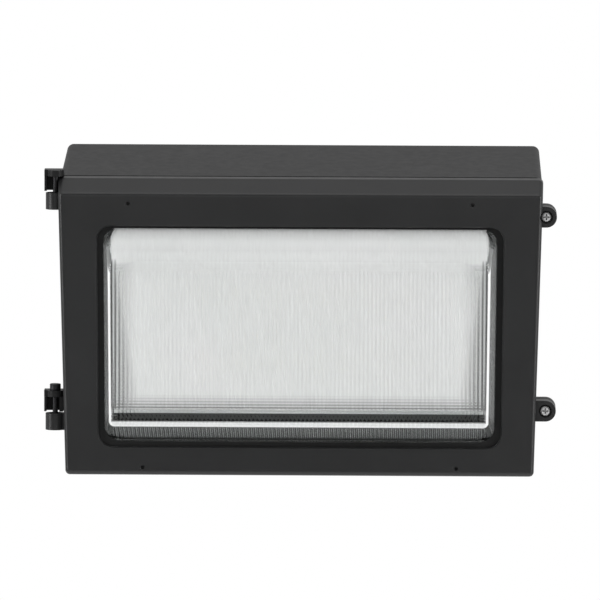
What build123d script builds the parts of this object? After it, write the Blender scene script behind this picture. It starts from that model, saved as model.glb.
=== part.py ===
from build123d import *
from math import atan2, degrees, hypot, radians, tan
import os

# Frame: X to the right as seen from the front, Y back into the wall, Z up.
# The origin is the centre of the casting's flat back, which lies on the wall.
# A depth is a distance in front of the wall, so a point at depth d has y = -d.

# ---- Casting: the outline shared by the rear housing and the hinged door ----
body_height = 237.5  # at the wall
body_half_width = 177.55  # half width of the rear housing at its rim, at z = 0
side_taper = 1.6  # degrees, each side leans in towards the bottom
side_draft = 1.0  # degrees, each side narrows towards the wall
roof_slope = 7.0  # degrees, the roof falls towards the front
floor_slope = 0.5  # degrees, the floor rises towards the front
corner_radius = 5.0
wall = 3.0
back_wall = 4.0
parting_depth = 113.0  # back edge of the door
seal_gap = 2.4  # open joint between the housing's rim and the door's back edge
rim_depth = parting_depth - seal_gap
rim_ledge_width = 11.0
rim_ledge_thickness = 4.0

# ---- Door frame ----
door_depth = 21.0
door_overhang = 0.8  # the door stands this much proud of the housing, each side
front_depth = parting_depth + door_depth
brow_height = 10.5  # sloped band along the top of the door
brow_depth = 14.0
door_edge_radius = 3.5
face_plate = 3.0
door_ledge_width = 10.0
door_ledge_thickness = 5.0

# ---- Window in the door ----
window_below_brow = 24.3
window_above_floor = 21.5
window_inset_top = 28.45  # from the door's side, at the window's top
window_inset_bottom = 25.45
window_radius = 10.5
window_bevel = 0.9

# ---- Door seal ----
seal_inset = 4.0
seal_groove_width = 5.0
seal_groove_depth = 2.8
seal_clearance = 0.2

# ---- Glass lens ----
glass = 4.0
lens_sill_glass = 10.5  # the thick underside
lens_margin = 4.6  # open gap between the lens and the window's edge
lens_top_margin = 1.5
lens_bulge = 52.0  # how far the lens stands in front of the door
lens_side_draft = 5.5  # degrees
lens_sill_drop = 17.3  # how much the underside rises over the bulge
lens_brow_height = 32.0  # height of the quarter ellipse over the top of the lens
lens_corner_radius = 13.0
lens_edge_radius = 4.6
lens_flange_width = 9.0
lens_flange_thickness = 5.0
flute_pitch = 3.06  # upright prisms across the front of the glass
flute_height = 0.8
prism_pitch = 2.2  # level prisms down the inside of the front
prism_height = 0.6
lens_gasket_thickness = 2.0

# ---- Lens clips ----
clip_inset = 14.8  # outer clips, in from the window's side
clip_thickness = 2.5
clip_width = 9.0
clip_corner_radius = 1.8
clip_reach = 12.5  # how far a clip's tongue reaches over the flange
clip_boss_radius = 4.0
clip_boss_gap = 1.4
clip_screw_radius = 1.9
clip_screw_length = 7.0
clip_head_radius = 3.2
clip_head_height = 2.2

# ---- Hinges ----
hinge_out = 5.65  # hinge axis, beyond the housing's half width
hinge_ahead = 5.5  # hinge axis, in front of the door's back edge
pin_radius = 2.0
pin_running_clearance = 0.08
pin_cap_radius = 4.1
pin_cap_height = 5.0
pin_cap_edge = 0.5
barrel_radius = 7.3
barrel_height = 12.4
barrel_web = 9.2  # thickness of the web from a barrel to the door's side
lower_barrel_above_floor = 32.6
barrel_gap = 1.0  # between a barrel and the ear above it
ear_height = 16.0
ear_bar = 4.6  # solid bar on top of each ear, over the door's roof on the upper one
ear_bar_reach = 12.0  # the bar's back face, behind the hinge axis
ear_reach = 8.4  # outer face of the ear, from the hinge axis
ear_inner_reach = 6.0  # inner face of the lower ear, from the hinge axis
ear_nose_radius = 5.9
ear_leg = 1.7
ear_web = 3.2
ear_inner_web = 3.0  # web between the pin and the door, on the lower ear
ear_inner_web_front = 1.0  # its front face, ahead of the hinge axis
ear_leg_setback = 1.2  # the leg ends this far behind the hinge axis
ear_root = 28.5  # how far an ear's root reaches behind the hinge axis
ear_door_clearance = 0.5

# ---- Screw lugs and captive door screws ----
lug_out = 6.1  # middle of a lug's round end, beyond the housing's half width
lug_radius = 7.8
lug_above_floor = 49.0
lug_below_roof = 27.95
door_lug_length = 13.5
housing_lug_depth = 12.0
counterbore_radius = 4.9
counterbore_depth = 4.0
screw_head_radius = 4.2
screw_head_height = 3.0
screw_neck_radius = 1.7
screw_thread_radius = 2.4
screw_thread_length = 9.5
screw_travel = 13.5
screw_tip_chamfer = 0.8
screw_bore_clearance = 0.3
screw_entry_clearance = 0.9
retainer_radius = 4.1
retainer_thickness = 1.5
retainer_clearance = 0.25

# ---- Accessory holes in the face of the door ----
guard_hole_radius = 1.4
guard_hole_depth = 6.0
guard_boss_radius = 3.4
guard_below_brow = 7.1
guard_top_spacing = 257.0
guard_above_floor = 6.0
guard_bottom_spacing = 234.4

# ---- Back of the housing ----
wall_hole_radius = 3.5
wall_hole_spacing_x = 300.0
wall_hole_spacing_z = 160.0
box_hole_radius = 2.6
box_hole_spacing = 88.9
entry_x = 0.0
entry_below_top = 65.5
entry_radius = 11.0
grommet_bore_radius = 6.0
grommet_lip = 3.0
grommet_lip_thickness = 1.5

# ---- Threaded conduit entries, closed by plugs ----
conduit_depth = 52.0
conduit_boss_radius = 17.0
conduit_boss_length = 12.0
conduit_boss_proud = 0.8
conduit_bore_radius = 10.4
plug_fit = 0.08
plug_length = 11.0
plug_socket = 8.0

# ---- Reflector tray ----
sheet = 1.2
tray_back_depth = 62.0
tray_rim_depth = 103.0
tray_side_room = 39.55  # from the housing's half width to the tray's back
tray_top_room = 63.5
tray_bottom_room = 35.5
tray_flare = 15.0
tray_lip = 7.0
tray_corner_radius = 8.0
post_radius = 4.5
post_inset_x = 11.0  # from the tray's back edges
post_inset_z = 12.0
tray_screw_radius = 1.9
tray_screw_length = 10.0
tray_head_radius = 3.8
tray_head_height = 2.4

# ---- LED boards ----
board_length = 226.0
board_width = 36.0
board_thickness = 1.6
board_pitch = 52.0
leds_per_row = 14
led_rows = 2
led_pitch = 15.6
led_row_gap = 16.0
led_length = 3.5
led_width = 3.0
led_height = 0.8
connector_length = 12.0
connector_width = 6.0
connector_height = 4.0
connector_inset = 1.0
tray_hole_radius = 6.0
bush_bore_radius = 3.6
bush_lip = 2.0

# ---- Driver ----
driver_length = 150.0
driver_width = 58.0
driver_height = 30.0
driver_above_floor = 81.5
driver_ear = 14.0
driver_ear_thickness = 2.0
driver_ear_width = 20.0
driver_pad_height = 5.0
driver_pad_radius = 6.0
driver_edge_radius = 2.5
driver_screw_radius = 1.9
driver_screw_length = 6.5

# ---- Board screws ----
board_screw_inset = 7.0
board_screw_radius = 1.4
board_screw_length = 5.0
board_head_radius = 2.6
board_head_height = 1.8

# ---- Wiring ----
lead_radius = 1.3
lead_bend = 9.0
lead_pair_half_gap = 1.6
live_side_x = -97.5  # the live lead's bend beside the driver
neutral_side_x = -106.0
supply_turn = 58.0  # where the supply leads leave the driver's side, above its middle
supply_nut_turn = 30.5  # where they turn up, below their nuts
led_lead_turn = 28.0  # mean reach of the board leads beyond the driver
led_lead_step = 7.0  # each lead's bend is this far from the mean
jumper_radius = 0.9
jumper_x = 4.6
driver_lead_depth = 23.0
driver_lead_half_gap = 8.0
nut_base_radius = 6.0
nut_tip_radius = 3.6
nut_length = 20.0
nut_bore_depth = 13.0
nut_edge_radius = 1.2
nut_below_top = 45.5
live_nut_x = -62.0
neutral_nut_x = -40.0
ground_nut_x = 22.0
nut_depth = 30.0
neutral_nut_depth = 36.0
ground_x = 92.0
ground_below_top = 51.5
ground_loop = 26.0  # how far the ground lead's loop hangs
ground_loop_width = 26.0
ground_loop_rise = 4.0
ground_loop_depth = 22.5
ground_screw_radius = 2.4
ground_head_radius = 4.5
ground_head_height = 2.6
terminal_thickness = 1.0
terminal_length = 13.0
crimp_radius = 2.0
crimp_length = 6.0
crimp_wall = 1.0

# ---- Pan heads, as shares of a head's own size ----
pan_rounding = 0.7  # of the height
recess_span = 1.1  # tip to tip, of the radius
recess_slot = 0.2  # of the span
recess_floor = 0.45  # of the height

# ---- Clearances and cuts ----
past = 1.0  # how far a cut runs past the face that it opens
slip = 0.1  # between a screw and the hole that it passes through
thread_gap = 0.05  # between a screw and the boss that it is driven into


def rise(angle):
    """Height gained over each millimetre at an angle in degrees."""
    return tan(radians(angle))


def roof_at(depth):
    return body_height / 2 - depth * rise(roof_slope)


def floor_at(depth):
    return -body_height / 2 + depth * rise(floor_slope)


def side_at(depth, z):
    """Half width of the rear housing at a depth and a height."""
    return body_half_width + z * rise(side_taper) - (rim_depth - depth) * rise(side_draft)


def door_side_at(z):
    return body_half_width + door_overhang + z * rise(side_taper)


def at_depth(depth):
    """Plane parallel to the wall, facing the viewer, in front of the wall."""
    return Plane.XZ.offset(depth)


def trapezoid(top, bottom, half_top, half_bottom, radius=0.0):
    corners = [
        (-half_bottom, bottom),
        (half_bottom, bottom),
        (half_top, top),
        (-half_top, top),
    ]
    face = make_face(Polyline(*corners, close=True))
    return fillet(face.vertices(), radius) if radius > 0 else face


def housing_outline(depth, inset, radius):
    top = roof_at(depth) - inset
    bottom = floor_at(depth) + inset
    half_top = side_at(depth, top) - inset
    half_bottom = side_at(depth, bottom) - inset
    return at_depth(depth) * trapezoid(top, bottom, half_top, half_bottom, radius)


def door_outline(depth, inset, radius):
    top = roof_at(depth) - inset
    bottom = floor_at(depth) + inset
    half_top = door_side_at(top) - inset
    half_bottom = door_side_at(bottom) - inset
    return at_depth(depth) * trapezoid(top, bottom, half_top, half_bottom, radius)


def post(x, z, radius, start, end):
    """Round bar along the depth, from one depth to another."""
    return at_depth(start) * Pos(x, z) * extrude(Circle(radius), end - start)


def pin(x, depth, radius, bottom, top):
    """Round bar along Z."""
    return Pos(x, -depth, bottom) * extrude(Circle(radius), top - bottom)


def block(x0, x1, depth0, depth1, z0, z1):
    size = Box(x1 - x0, depth1 - depth0, z1 - z0)
    return Pos((x0 + x1) / 2, -(depth0 + depth1) / 2, (z0 + z1) / 2) * size


# ---- Places worked out from the sizes above ----
top_z = body_height / 2
brow_bottom = roof_at(front_depth - brow_depth) - brow_height
door_floor = floor_at(front_depth)
window_top = brow_bottom - window_below_brow
window_bottom = door_floor + window_above_floor
window_half_top = door_side_at(window_top) - window_inset_top
window_half_bottom = door_side_at(window_bottom) - window_inset_bottom
hinge_x = -body_half_width - hinge_out
hinge_depth = parting_depth + hinge_ahead
ear_back_depth = hinge_depth - ear_root
lower_barrel_bottom = floor_at(parting_depth) + lower_barrel_above_floor
lug_x = body_half_width + lug_out
lower_lug_z = floor_at(parting_depth) + lug_above_floor
upper_lug_z = roof_at(parting_depth) - lug_below_roof
door_lug_front = parting_depth + door_lug_length
entry_z = top_z - entry_below_top
tray_back_half_width = body_half_width - tray_side_room
tray_back_top = top_z - tray_top_room
tray_back_bottom = tray_bottom_room - top_z
board_gap_z = (tray_back_top + tray_back_bottom) / 2
board_z = (board_gap_z + board_pitch / 2, board_gap_z - board_pitch / 2)
driver_z = driver_above_floor - top_z
nut_base_z = top_z - nut_below_top
ground_z = top_z - ground_below_top
ground_loop_z = ground_z - ground_loop
upper_ear_top = roof_at(parting_depth) + ear_door_clearance + ear_bar
upper_barrel_bottom = upper_ear_top - ear_height - barrel_gap - barrel_height
barrel_bottoms = (lower_barrel_bottom, upper_barrel_bottom)
lug_heights = (lower_lug_z, upper_lug_z)
plate_back = front_depth - face_plate
flange_front = plate_back - lens_gasket_thickness
flange_back = flange_front - lens_flange_thickness
clip_back = flange_back - clip_thickness
retainer_front = door_lug_front - counterbore_depth
retainer_back = retainer_front - retainer_thickness
thread_front = retainer_back - screw_travel
thread_back = thread_front - screw_thread_length
post_x = tray_back_half_width - post_inset_x
post_heights = (tray_back_top - post_inset_z, tray_back_bottom + post_inset_z)
tray_posts = [(x, z) for x in (-post_x, post_x) for z in post_heights]
board_back = tray_back_depth + sheet
board_front = board_back + board_thickness
driver_ear_x = driver_length / 2 + driver_ear / 2
driver_ear_front = back_wall + driver_pad_height + driver_ear_thickness
driver_front = back_wall + driver_pad_height + driver_height
ground_pad_front = back_wall + driver_pad_height
crimp_depth = ground_pad_front + crimp_radius
crimp_end = ground_x - terminal_length - crimp_length


# ---- Rear housing ----
def hinge_ear(barrel_bottom, beside_housing):
    """Cast ear whose bar carries a hinge pin, cored out beside the pin."""
    bottom = barrel_bottom + barrel_height + barrel_gap
    top = bottom + ear_height
    bar_bottom = top - ear_bar
    outer = hinge_x - ear_reach
    nose = Pos(hinge_x, -hinge_depth) * Circle(ear_nose_radius)
    bar_inner = hinge_x + ear_inner_reach
    bar_width = bar_inner - outer
    bar_back = hinge_depth - ear_bar_reach
    bar_length = hinge_depth - bar_back
    bar_plan = Pos(outer + bar_width / 2, -hinge_depth + bar_length / 2) * Rectangle(
        bar_width, bar_length
    )
    bar = Pos(0, 0, bar_bottom) * extrude(nose + bar_plan, ear_bar)
    leg_front = hinge_depth - ear_leg_setback
    leg = block(outer, outer + ear_leg, bar_back, leg_front, bottom, top)
    web_inner = min(bar_inner, -door_side_at(bottom) - ear_door_clearance)
    web_inner = min(web_inner, -door_side_at(bar_bottom) - ear_door_clearance)
    core = block(outer, web_inner, bar_back, bar_back + ear_web, bottom, top)
    arm_profile = [
        (-bar_back - ear_web, top),
        (-bar_back, top),
        (-ear_back_depth, bar_bottom - ear_bar / 2),
        (-ear_back_depth, bottom),
        (-bar_back - ear_web, bottom),
    ]
    arm_face = make_face(Polyline(*arm_profile, close=True))
    arm = extrude(Plane.YZ.offset(outer) * arm_face, beside_housing - outer)
    rim_side = block(beside_housing - wall, 0, rim_depth, front_depth, bottom, top)
    ear = bar + leg + core + (arm - rim_side)
    web_start = bar_inner - ear_inner_web
    web_end = min(bar_inner, -door_side_at(bottom) - ear_door_clearance)
    if web_end > web_start:
        web_front = hinge_depth + ear_inner_web_front
        ear += block(web_start, web_end, bar_back, web_front, bottom, top)
    return ear


def lug_profile(z, inner_x):
    rounded = Pos(lug_x, z) * Circle(lug_radius)
    root = Pos((inner_x + lug_x) / 2, z) * Rectangle(lug_x - inner_x, 2 * lug_radius)
    return rounded + root


def conduit_places():
    """Centre, and outward direction, of the entries in both sides and the floor."""
    side = side_at(conduit_depth, 0) + conduit_boss_proud
    floor = floor_at(conduit_depth) - conduit_boss_proud
    return [
        Plane((side, -conduit_depth, 0), x_dir=(0, 1, 0), z_dir=(1, 0, 0)),
        Plane((-side, -conduit_depth, 0), x_dir=(0, 1, 0), z_dir=(-1, 0, 0)),
        Plane((0, -conduit_depth, floor), x_dir=(1, 0, 0), z_dir=(0, 0, -1)),
    ]


def make_rear_housing():
    outside = loft(
        [housing_outline(0, 0, corner_radius), housing_outline(rim_depth, 0, corner_radius)]
    )
    inner_radius = corner_radius - wall / 2
    inside = loft(
        [
            housing_outline(back_wall, wall, inner_radius),
            housing_outline(rim_depth + past, wall, inner_radius),
        ]
    )
    ledge_back = rim_depth - rim_ledge_thickness
    ledge_outer = housing_outline(ledge_back, wall / 2, inner_radius)
    ledge_inner = housing_outline(ledge_back, rim_ledge_width, inner_radius)
    body = outside - inside + extrude(ledge_outer - ledge_inner, rim_ledge_thickness)

    for x, z in tray_posts:
        body += post(x, z, post_radius, back_wall / 2, tray_back_depth)
    for side in (-1, 1):
        pad_x = side * driver_ear_x
        pad_front = back_wall + driver_pad_height
        body += post(pad_x, driver_z, driver_pad_radius, back_wall / 2, pad_front)
    body += post(ground_x, ground_z, driver_pad_radius, back_wall / 2, ground_pad_front)
    for place in conduit_places():
        body += place * extrude(Circle(conduit_boss_radius), -conduit_boss_length)
    for z in lug_heights:
        inner_x = side_at(rim_depth, z) - wall / 2
        lug_back = rim_depth - housing_lug_depth
        body += extrude(at_depth(lug_back) * lug_profile(z, inner_x), housing_lug_depth)
    for bottom in barrel_bottoms:
        body += hinge_ear(bottom, -side_at(ear_back_depth, bottom) + wall / 2)

    for x, z in tray_posts:
        hole_back = tray_back_depth + sheet - tray_screw_length - past
        body -= post(x, z, tray_screw_radius + thread_gap, hole_back, tray_back_depth)
    driver_hole_back = driver_ear_front - driver_screw_length
    for side in (-1, 1):
        pad_x = side * driver_ear_x
        hole = driver_screw_radius + thread_gap
        body -= post(pad_x, driver_z, hole, driver_hole_back, parting_depth / 2)
    ground_hole = ground_screw_radius + thread_gap
    body -= post(ground_x, ground_z, ground_hole, back_wall / 2, parting_depth / 2)
    for x in (-wall_hole_spacing_x / 2, wall_hole_spacing_x / 2):
        for z in (-wall_hole_spacing_z / 2, wall_hole_spacing_z / 2):
            body -= post(x, z, wall_hole_radius, -past, back_wall + past)
    for x in (entry_x - box_hole_spacing / 2, entry_x + box_hole_spacing / 2):
        body -= post(x, entry_z, box_hole_radius, -past, back_wall + past)
    body -= post(entry_x, entry_z, entry_radius, -past, back_wall + past)
    for place in conduit_places():
        bore = extrude(Circle(conduit_bore_radius), -conduit_boss_length - wall)
        body -= place * bore
    for z in lug_heights:
        entry = screw_thread_radius + screw_entry_clearance
        lug_back = rim_depth - housing_lug_depth
        body -= post(lug_x, z, entry, lug_back - past, rim_depth + past)
    for bottom in barrel_bottoms:
        ear_bottom = bottom + barrel_height + barrel_gap
        hole = pin_radius + pin_running_clearance
        ear_top = ear_bottom + ear_height
        body -= pin(hinge_x, hinge_depth, hole, ear_bottom, ear_top + past)
    return body


# ---- Door frame ----
def door_block(inset, front):
    """The door's outer form, or its hollow when drawn in by the wall."""
    brow_back = front_depth - brow_depth
    slope = brow_height / brow_depth
    drop = inset * hypot(1, slope)
    bend = brow_back - (drop - inset) / (slope - rise(roof_slope))
    back = parting_depth if inset == 0 else parting_depth - past
    profile = [
        (-back, floor_at(back) + inset),
        (-front, floor_at(front_depth) + inset),
        (-front, roof_at(brow_back) - (front - brow_back) * slope - drop),
        (-bend, roof_at(bend) - inset),
        (-back, roof_at(back) - inset),
    ]
    reach = 2 * body_half_width
    side_view = make_face(Polyline(*profile, close=True))
    prism = extrude(Plane.YZ * side_view, reach, both=True)
    top = body_height
    half_top = door_side_at(top) - inset
    half_bottom = door_side_at(-top) - inset
    front_view = at_depth(back - past) * trapezoid(top, -top, half_top, half_bottom)
    return prism & extrude(front_view, front_depth)


def door_shell():
    solid = door_block(0, front_depth)
    kept_sharp = solid.edges().filter_by_position(
        Axis.Y, -parting_depth - 0.01, -parting_depth + 0.01
    )
    rounded = [edge for edge in solid.edges() if edge not in kept_sharp]
    return fillet(rounded, door_edge_radius)


def window_face(grown=0):
    return trapezoid(
        window_top + grown,
        window_bottom - grown,
        window_half_top + grown,
        window_half_bottom + grown,
        window_radius + grown,
    )


def guard_holes():
    places = []
    for x in (-guard_top_spacing / 2, guard_top_spacing / 2):
        places.append((x, brow_bottom - guard_below_brow))
    for x in (-guard_bottom_spacing / 2, guard_bottom_spacing / 2):
        places.append((x, door_floor + guard_above_floor))
    return places


def clip_places():
    """Middle of each clip's screw, and the direction of its tongue."""
    top = window_top + lens_flange_width - lens_margin + clip_boss_gap + clip_boss_radius
    bottom = window_bottom - lens_flange_width + lens_margin
    bottom -= clip_boss_gap + clip_boss_radius
    places = []
    clip_x = window_half_top - clip_inset
    for x in (-clip_x, 0, clip_x):
        places.append((x, top, -1))
        places.append((x, bottom, 1))
    return places


def make_door_frame():
    body = door_shell() - door_block(wall, plate_back)
    ledge = door_outline(parting_depth, wall / 2, 0)
    ledge -= door_outline(parting_depth, door_ledge_width, corner_radius)
    body += extrude(ledge, door_ledge_thickness)
    for x, z, _ in clip_places():
        body += post(x, z, clip_boss_radius, flange_back, plate_back + face_plate / 2)
    for x, z in guard_holes():
        boss_back = front_depth - guard_hole_depth - face_plate / 2
        body += post(x, z, guard_boss_radius, boss_back, plate_back + face_plate / 2)
    for z in lug_heights:
        inner_x = door_side_at(z) - wall / 2
        lug_length = door_lug_front - parting_depth
        body += extrude(at_depth(parting_depth) * lug_profile(z, inner_x), lug_length)
    for bottom in barrel_bottoms:
        body += pin(hinge_x, hinge_depth, barrel_radius, bottom, bottom + barrel_height)
        web_side = -door_side_at(bottom) + wall / 2
        body += block(
            hinge_x,
            web_side,
            hinge_depth - barrel_web / 2,
            hinge_depth + barrel_web / 2,
            bottom,
            bottom + barrel_height,
        )

    body -= extrude(at_depth(plate_back - past) * window_face(), face_plate + 2 * past)
    bevel_start = at_depth(front_depth - window_bevel) * window_face()
    bevel_end = at_depth(front_depth + past) * window_face(window_bevel + past)
    body -= loft([bevel_start, bevel_end])
    groove = door_outline(parting_depth, seal_inset, corner_radius)
    groove -= door_outline(parting_depth, seal_inset + seal_groove_width, corner_radius / 2)
    body -= extrude(groove, seal_groove_depth)
    for x, z, _ in clip_places():
        hole = clip_screw_radius + thread_gap
        body -= post(x, z, hole, flange_back - past, clip_back + clip_screw_length + past)
    for x, z in guard_holes():
        hole_back = front_depth - guard_hole_depth
        body -= post(x, z, guard_hole_radius, hole_back, front_depth + past)
    for z in lug_heights:
        bore = screw_thread_radius + screw_bore_clearance
        body -= post(lug_x, z, bore, parting_depth - past, retainer_back + past)
        retainer_seat = retainer_radius + thread_gap
        body -= post(lug_x, z, retainer_seat, retainer_back, retainer_front)
        body -= post(lug_x, z, counterbore_radius, retainer_front, front_depth + past)
    for bottom in barrel_bottoms:
        hole = pin_radius + thread_gap
        top = bottom + barrel_height
        body -= pin(hinge_x, hinge_depth, hole, bottom + wall, top + past)
    return body


# ---- Door seal ----
def make_door_seal():
    ring = door_outline(parting_depth, seal_inset + seal_clearance, corner_radius)
    inner_inset = seal_inset + seal_groove_width - seal_clearance
    ring -= door_outline(parting_depth, inner_inset, corner_radius / 2)
    return Pos(0, seal_gap, 0) * extrude(ring, seal_gap + seal_groove_depth)


# ---- Glass lens ----
def brow_arcs(reach, height, top):
    """Quarter of an oval, in the side view, as a wide arc and a tight one."""
    diagonal = hypot(reach, height)
    tight = diagonal * (diagonal - reach + height) / (2 * reach)
    wide = diagonal * (diagonal + reach - height) / (2 * height)
    turn = degrees(atan2(wide - height, reach - tight))
    middle = -front_depth
    upper = CenterArc((middle, top - wide), wide, 90, 90 - turn)
    lower = CenterArc((middle - reach + tight, top - height), tight, 180 - turn, turn)
    return upper, lower


def saw(start, end, pitch, height):
    """Teeth along a straight edge, as pairs of place and rise, fitted to whole teeth."""
    count = round((end - start) / pitch)
    step = (end - start) / count
    teeth = [(start, 0.0)]
    for tooth in range(count):
        teeth.append((start + (tooth + 0.5) * step, height))
        teeth.append((start + (tooth + 1) * step, 0.0))
    return teeth


def lens_dome(inset, sill_inset, back, front, tooth_height=0.0):
    """The bulge: a drafted plug cut by the side view of the lens."""
    draft_base = front_depth - back
    spread = draft_base * rise(lens_side_draft)
    half_top = window_half_top - lens_margin - inset + spread
    half_bottom = window_half_bottom - lens_margin - inset + spread
    top = window_top - lens_top_margin - inset
    bottom = window_bottom + lens_margin + sill_inset
    radius = lens_corner_radius - inset / 2
    length = front - back
    shrink = length * rise(lens_side_draft)
    base = at_depth(back) * trapezoid(
        top + spread, bottom - spread, half_top, half_bottom, radius
    )
    cap = at_depth(front) * trapezoid(
        top + spread, bottom - spread, half_top - shrink, half_bottom - shrink, radius
    )
    plug = loft([base, cap])

    brow_start = top - lens_brow_height
    sill = lens_sill_drop / lens_bulge
    under_back = bottom - draft_base * sill
    under_front = under_back + length * sill
    base_line = Line((-back, under_back), (-back, top))
    roof_line = Line((-back, top), (-front_depth, top))
    brow = brow_arcs(front - front_depth, lens_brow_height, top)
    face_line = Line((-front, brow_start), (-front, under_front))
    if tooth_height > 0:
        teeth = saw(under_front, brow_start, prism_pitch, tooth_height)
        face_line = Polyline(*[(-front - height, z) for z, height in reversed(teeth)])
    sill_line = Line((-front, under_front), (-back, under_back))
    side_view = make_face([base_line, roof_line, *brow, face_line, sill_line])
    return plug & extrude(Plane.YZ * side_view, 2 * body_half_width, both=True)


def flange_face():
    return trapezoid(
        window_top + lens_flange_width - lens_margin,
        window_bottom - lens_flange_width + lens_margin,
        window_half_top + lens_flange_width - lens_margin,
        window_half_bottom + lens_flange_width - lens_margin,
        window_radius,
    )


def make_lens():
    front = front_depth + lens_bulge
    solid = lens_dome(0, 0, flange_back, front)
    across = solid.edges().filter_by(Axis.X)
    sill_edge = across.group_by(Axis.Y)[0].sort_by(Axis.Z)[0]
    front_edges = [sill_edge]
    for edge in solid.edges():
        if edge.center().Y < -front_depth - lens_bulge / 3 and edge not in across:
            front_edges.append(edge)
    solid = fillet(front_edges, lens_edge_radius)
    flange = extrude(at_depth(flange_back) * flange_face(), lens_flange_thickness)
    hollow_back = flange_back - past
    hollow = lens_dome(glass, lens_sill_glass, hollow_back, front - glass, prism_height)
    return solid + flange - hollow - flute_comb(front)


def flute_comb(front):
    """What is cut from the front of the glass to leave upright prisms."""
    reach = window_half_top - lens_margin - lens_corner_radius
    teeth = saw(-reach, reach, flute_pitch, flute_height)
    outline = [(x, -front + height) for x, height in teeth]
    outline += [(reach, -front - past), (-reach, -front - past)]
    length = window_top - window_bottom
    face = make_face(Polyline(*outline, close=True))
    return Pos(0, 0, window_bottom) * extrude(face, length)


def make_lens_gasket():
    ring = extrude(at_depth(flange_front) * flange_face(), lens_gasket_thickness)
    return ring - lens_dome(-slip, -slip, flange_back, front_depth + lens_bulge)


# ---- Lens clips ----
def make_lens_clips():
    clips = []
    for x, z, toward in clip_places():
        start = z - toward * clip_boss_radius
        end = z + toward * (clip_boss_radius + clip_boss_gap + clip_reach)
        shape = Pos(x, (start + end) / 2) * RectangleRounded(
            clip_width, abs(end - start), clip_corner_radius
        )
        clip = extrude(at_depth(clip_back) * shape, clip_thickness)
        hole = clip_screw_radius + slip
        clips.append(clip - post(x, z, hole, clip_back - past, flange_back + past))
    return Compound(clips)


def pan_screw(radius, length, head_radius, head_height):
    """Screw along +Z with its head on top, seated at the origin."""
    head = extrude(Circle(head_radius), head_height)
    rim = head.edges().filter_by(GeomType.CIRCLE).sort_by(Axis.Z)[-1]
    head = fillet(rim, head_height * pan_rounding)
    arm = head_radius * recess_span
    slot = arm * recess_slot
    recess = Rectangle(arm, slot) + Rectangle(slot, arm)
    head -= Pos(0, 0, head_height * recess_floor) * extrude(recess, head_height)
    return head + Pos(0, 0, -length) * extrude(Circle(radius), length)


def make_clip_screws():
    screws = []
    for x, z, _ in clip_places():
        seat = Plane((x, -clip_back, z), x_dir=(1, 0, 0), z_dir=(0, 1, 0))
        screw = pan_screw(
            clip_screw_radius, clip_screw_length, clip_head_radius, clip_head_height
        )
        screws.append(seat * screw)
    return Compound(screws)


# ---- Hinge pins ----
def make_hinge_pin(barrel_bottom, capped):
    ear_top = barrel_bottom + barrel_height + barrel_gap + ear_height
    shaft = pin(hinge_x, hinge_depth, pin_radius, barrel_bottom + wall, ear_top)
    if not capped:
        return shaft
    cap = pin(hinge_x, hinge_depth, pin_cap_radius, ear_top, ear_top + pin_cap_height)
    return shaft + fillet(cap.edges().sort_by(Axis.Z)[-1], pin_cap_edge)


# ---- Captive door screws ----
def make_door_screw(z):
    seat = Plane((lug_x, -retainer_front, z), x_dir=(1, 0, 0), z_dir=(0, -1, 0))
    neck_length = retainer_front - thread_front
    head = pan_screw(
        screw_neck_radius, neck_length, screw_head_radius, screw_head_height
    )
    thread = post(lug_x, z, screw_thread_radius, thread_back, thread_front)
    tip = thread.edges().filter_by(GeomType.CIRCLE).sort_by(Axis.Y)[-1]
    return seat * head + chamfer(tip, screw_tip_chamfer)


def make_screw_retainers():
    rings = []
    for z in lug_heights:
        ring = post(lug_x, z, retainer_radius, retainer_back, retainer_front)
        hole = screw_neck_radius + retainer_clearance
        back = retainer_back - past
        rings.append(ring - post(lug_x, z, hole, back, retainer_front + past))
    return Compound(rings)


# ---- Back and side entries ----
def make_wiring_grommet():
    lip_radius = entry_radius + grommet_lip
    inner_lip_front = back_wall + grommet_lip_thickness
    body = post(entry_x, entry_z, entry_radius - plug_fit, 0, inner_lip_front)
    body += post(entry_x, entry_z, lip_radius, back_wall, inner_lip_front)
    front = inner_lip_front + past
    return body - post(entry_x, entry_z, grommet_bore_radius, -past, front)


def make_conduit_plugs():
    plugs = []
    for place in conduit_places():
        body = extrude(Circle(conduit_bore_radius - plug_fit), -plug_length)
        socket = RegularPolygon(plug_socket / 2, 4)
        body -= Pos(0, 0, -plug_length / 2) * extrude(socket, plug_length)
        plugs.append(place * body)
    return Compound(plugs)


# ---- Reflector tray ----
def tray_outline(depth, inset, radius):
    spread = (depth - tray_back_depth) * rise(tray_flare) - inset
    half = tray_back_half_width + spread
    top = tray_back_top + spread
    bottom = tray_back_bottom - spread
    return at_depth(depth) * trapezoid(top, bottom, half, half, radius)


def make_reflector_tray():
    radius = tray_corner_radius
    outer = loft(
        [tray_outline(tray_back_depth, 0, radius), tray_outline(tray_rim_depth, 0, radius)]
    )
    inner = loft(
        [
            tray_outline(tray_back_depth + sheet, sheet, radius - sheet),
            tray_outline(tray_rim_depth + past, sheet, radius - sheet),
        ]
    )
    lip_back = tray_rim_depth - sheet
    lip = tray_outline(lip_back, -tray_lip, radius + tray_lip)
    lip -= tray_outline(lip_back, sheet / 2, radius)
    body = outer - inner + extrude(lip, sheet)
    back = tray_back_depth - past
    front = tray_back_depth + sheet + past
    for x, z in tray_posts:
        body -= post(x, z, tray_screw_radius + slip, back, front)
    for x, z in board_screw_places():
        body -= post(x, z, board_screw_radius + thread_gap, back, front)
    return body - post(0, board_gap_z, tray_hole_radius, back, front)


def screws_at(places, seat_depth, radius, length, head_radius, head_height):
    """Pan head screws driven back into the housing."""
    screws = []
    for x, z in places:
        seat = Plane((x, -seat_depth, z), x_dir=(1, 0, 0), z_dir=(0, -1, 0))
        screws.append(seat * pan_screw(radius, length, head_radius, head_height))
    return Compound(screws)


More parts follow.
